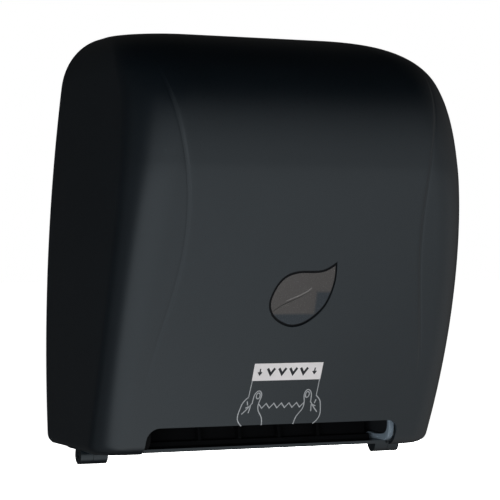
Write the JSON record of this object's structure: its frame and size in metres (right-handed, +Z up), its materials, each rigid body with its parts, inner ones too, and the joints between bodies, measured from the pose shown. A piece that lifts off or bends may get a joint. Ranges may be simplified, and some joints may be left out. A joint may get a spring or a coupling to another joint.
{
  "type": "lever paper towel dispenser",
  "caption": "Wall-mounted pull-to-cut paper towel roll dispenser: domed cover hinged at the foot over a cutting drum, with a leaf-shaped level window.",
  "frame": {"origin": "middle of the four wall screw holes, on the back face that touches the wall", "axes": "+X to the right for someone facing the dispenser, +Y into the wall, +Z up"},
  "size_m": [0.342, 0.224, 0.3975],
  "materials": {
    "cover": "fine satin grain, charcoal",
    "lens": "smoked, clear",
    "dark_plastic": "matt black",
    "pale_plastic": "matt pale grey",
    "guide_plastic": "satin blue-grey",
    "bearing_plastic": "natural acetal",
    "drum_plastic": "satin dark grey",
    "rubber": "matt rubber",
    "steel": "plain steel",
    "spring_steel": "spring wire",
    "lock_metal": "dull chrome"
  },
  "bodies": {
    "chassis": {"back_plate": "pale_plastic", "left_cheek": "pale_plastic", "right_cheek": "pale_plastic", "bottom_tray": "cover", "outlet_guide_left": "guide_plastic", "outlet_guide_right": "guide_plastic", "drum_bush_left": "bearing_plastic", "drum_bush_right": "bearing_plastic", "knife_cam": "bearing_plastic", "module_hood": "dark_plastic", "stripper_comb": "dark_plastic", "latch_keeper": "pale_plastic", "frame_screws": "steel", "hinge_pins": "steel", "arm_bracket_left": "pale_plastic", "arm_bracket_right": "pale_plastic", "arm_pins": "steel", "arm_spring_left": "spring_steel", "arm_spring_right": "spring_steel", "spring_cover": "dark_plastic", "spring_post": "steel", "crank_spring": "spring_steel", "pressure_pins": "steel", "pressure_spring_left": "spring_steel", "pressure_spring_right": "spring_steel"},
    "cover": {"cover_shell": "cover", "window_lens": "lens", "lens_retainer": "dark_plastic", "lock_barrel": "lock_metal", "lock_nut": "lock_metal"},
    "lock": {"lock_plug": "lock_metal", "latch_cam": "steel", "cam_screw": "steel"},
    "drum": {"drum_shell_front": "drum_plastic", "drum_shell_rear": "drum_plastic", "drum_end_left": "drum_plastic", "drum_end_right": "drum_plastic", "grip_bands": "rubber", "crank": "dark_plastic", "feed_wheel": "drum_plastic", "shaft_caps": "drum_plastic", "drum_screws": "steel"},
    "knife": {"knife_blade": "steel", "knife_carrier": "dark_plastic", "blade_screws": "steel", "knife_arm": "bearing_plastic"},
    "pressure_frame": {"pressure_frame": "bearing_plastic"},
    "pressure_roller": {"pressure_shaft": "steel", "pressure_tyres": "rubber"},
    "arm_left": {"roll_arm_left": "pale_plastic"},
    "arm_right": {"roll_arm_right": "pale_plastic"},
    "hub_left": {"core_hub_left": "bearing_plastic", "hub_clip_left": "steel"},
    "hub_right": {"core_hub_right": "bearing_plastic", "hub_clip_right": "steel"}
  },
  "joints": [
    {"name": "cover_hinge", "type": "hinge", "parent": "chassis", "child": "cover", "pos_m": [0, -0.071, -0.259], "axis": [1, 0, 0], "range_deg": [0, 95]},
    {"name": "lock_turn", "type": "hinge", "parent": "cover", "child": "lock", "pos_m": [0, -0.044, 0.103], "axis": [0, 0, 1], "range_deg": [0, 90]},
    {"name": "drum_spin", "type": "hinge", "parent": "chassis", "child": "drum", "pos_m": [0, -0.095, -0.193], "axis": [1, 0, 0], "continuous": true, "deforming": ["crank_spring"]},
    {"name": "knife_swing", "type": "hinge", "parent": "drum", "child": "knife", "pos_m": [0, -0.10764, -0.21676], "axis": [1, 0, 0], "range_deg": [0, 32]},
    {"name": "pressure_lift", "type": "hinge", "parent": "chassis", "child": "pressure_frame", "pos_m": [0, -0.04, -0.145], "axis": [1, 0, 0], "range_deg": [-5, 0], "stiffness_Nm_per_rad": 0.3, "springref_deg": 17.19, "deforming": ["pressure_spring_left", "pressure_spring_right"]},
    {"name": "pressure_roller_spin", "type": "hinge", "parent": "pressure_frame", "child": "pressure_roller", "pos_m": [0, -0.07543, -0.15104], "axis": [1, 0, 0], "continuous": true},
    {"name": "arm_left_swing", "type": "hinge", "parent": "chassis", "child": "arm_left", "pos_m": [-0.112, -0.012, 0.004], "axis": [0, 0, 1], "range_deg": [-10, 0], "stiffness_Nm_per_rad": 1, "springref_deg": 11.46, "deforming": ["arm_spring_left"]},
    {"name": "arm_right_swing", "type": "hinge", "parent": "chassis", "child": "arm_right", "pos_m": [0.112, -0.012, 0.004], "axis": [0, 0, 1], "range_deg": [0, 10], "stiffness_Nm_per_rad": 1, "springref_deg": -11.46, "deforming": ["arm_spring_right"]},
    {"name": "hub_left_spin", "type": "hinge", "parent": "arm_left", "child": "hub_left", "pos_m": [-0.108, -0.115, 0.004], "axis": [1, 0, 0], "continuous": true},
    {"name": "hub_right_spin", "type": "hinge", "parent": "arm_right", "child": "hub_right", "pos_m": [0.108, -0.115, 0.004], "axis": [1, 0, 0], "continuous": true}
  ],
  "couplings": [
    {"joint": "pressure_roller_spin", "follows": "drum_spin", "ratio": -3.1818}
  ]
}
